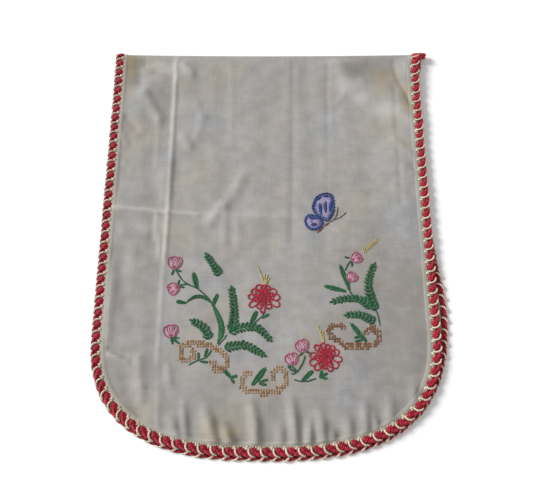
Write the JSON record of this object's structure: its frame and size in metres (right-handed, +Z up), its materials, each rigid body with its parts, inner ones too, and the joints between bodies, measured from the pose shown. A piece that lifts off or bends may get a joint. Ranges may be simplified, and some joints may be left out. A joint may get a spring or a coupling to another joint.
{
  "type": "embroidered table runner",
  "caption": "Linen table runner with round ends, flower and butterfly embroidery and a two-colour crocheted edging, folded in half and lying flat.",
  "frame": {"origin": "middle of the runner's box, on the surface that it lies on", "axes": "+Y towards the fold, -Y towards the round ends, +X to the right of the embroidered side, +Z up out of the embroidered side"},
  "size_m": [0.41, 0.5184, 0.0096],
  "materials": {
    "linen": "washed plain weave",
    "crochet_cotton": "twisted cotton yarn"
  },
  "bodies": {
    "root": {"cloth": "linen", "edging": "crochet_cotton"}
  },
  "joints": []
}
